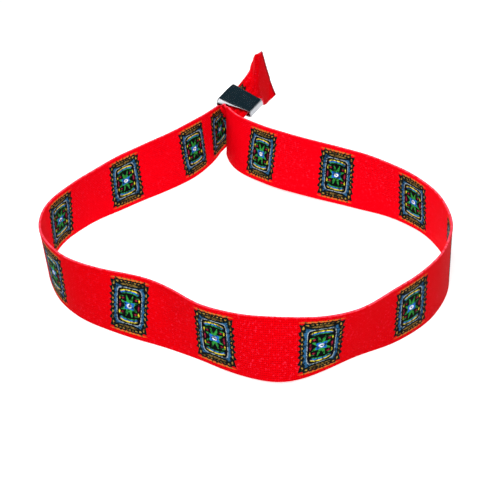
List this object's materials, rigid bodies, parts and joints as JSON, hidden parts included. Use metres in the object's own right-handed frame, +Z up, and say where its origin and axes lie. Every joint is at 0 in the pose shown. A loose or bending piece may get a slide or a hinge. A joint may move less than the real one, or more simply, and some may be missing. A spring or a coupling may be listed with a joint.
{
  "type": "woven wristband",
  "caption": "Woven ribbon wristband: one flat ribbon bent into a loop, its gathered ends held in a flat metal clasp with a short tail.",
  "frame": {"origin": "under the middle of the whole band, on the surface it stands on", "axes": "+Z up, square to the surface; -Y to the front of the loop; the clasp and the tail at the back, towards +Y"},
  "size_m": [0.0928, 0.109, 0.0248],
  "materials": {
    "ribbon": "woven polyester, matt with a faint sheen",
    "clasp": "polished"
  },
  "bodies": {
    "root": {"ribbon": "ribbon", "clasp": "clasp"}
  },
  "joints": []
}
